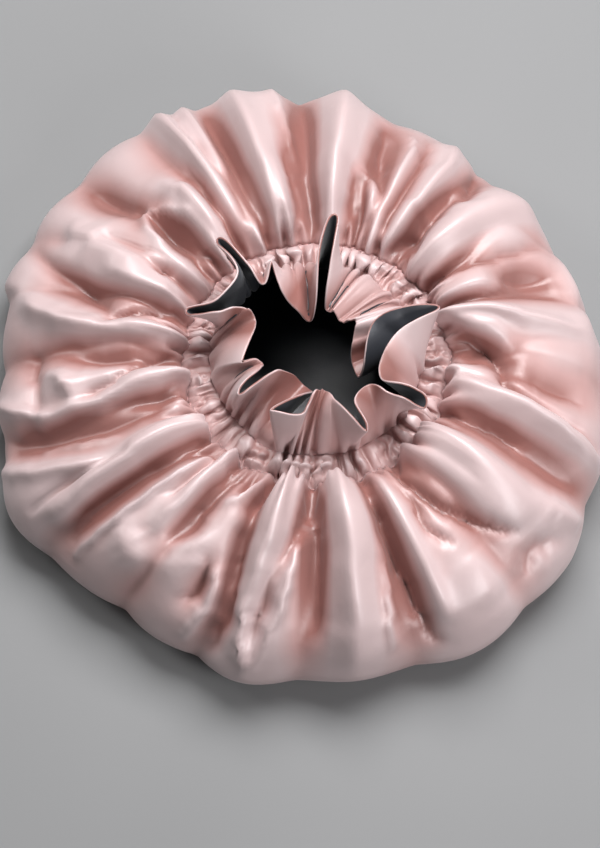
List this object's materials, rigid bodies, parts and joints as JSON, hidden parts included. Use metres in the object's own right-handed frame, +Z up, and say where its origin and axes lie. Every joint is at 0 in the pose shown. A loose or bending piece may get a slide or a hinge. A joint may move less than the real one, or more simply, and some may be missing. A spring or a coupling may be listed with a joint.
{
  "type": "sleep bonnet",
  "caption": "Large gathered satin sleep bonnet lying on its crown, opening up, with an elastic casing, a ruffled edge and a contrasting lining.",
  "frame": {"origin": "middle of the bonnet's plan outline, on the flat face that it rests on", "axes": "+Z up out of the opening, +Y to the back along the outline's longer side, +X to the right"},
  "size_m": [0.35, 0.3678, 0.1024],
  "materials": {
    "rose_satin": "glossy rose pink satin with soft bright highlights along the folds",
    "black_satin": "black satin with a soft grey sheen",
    "elastic": "plain woven white elastic, hidden in the casing"
  },
  "bodies": {
    "root": {"crown_outer": "rose_satin", "crown_lining": "black_satin", "casing_outer": "rose_satin", "casing_lining": "black_satin", "elastic_band": "elastic", "frill_outer": "rose_satin", "frill_lining": "black_satin"}
  },
  "joints": []
}
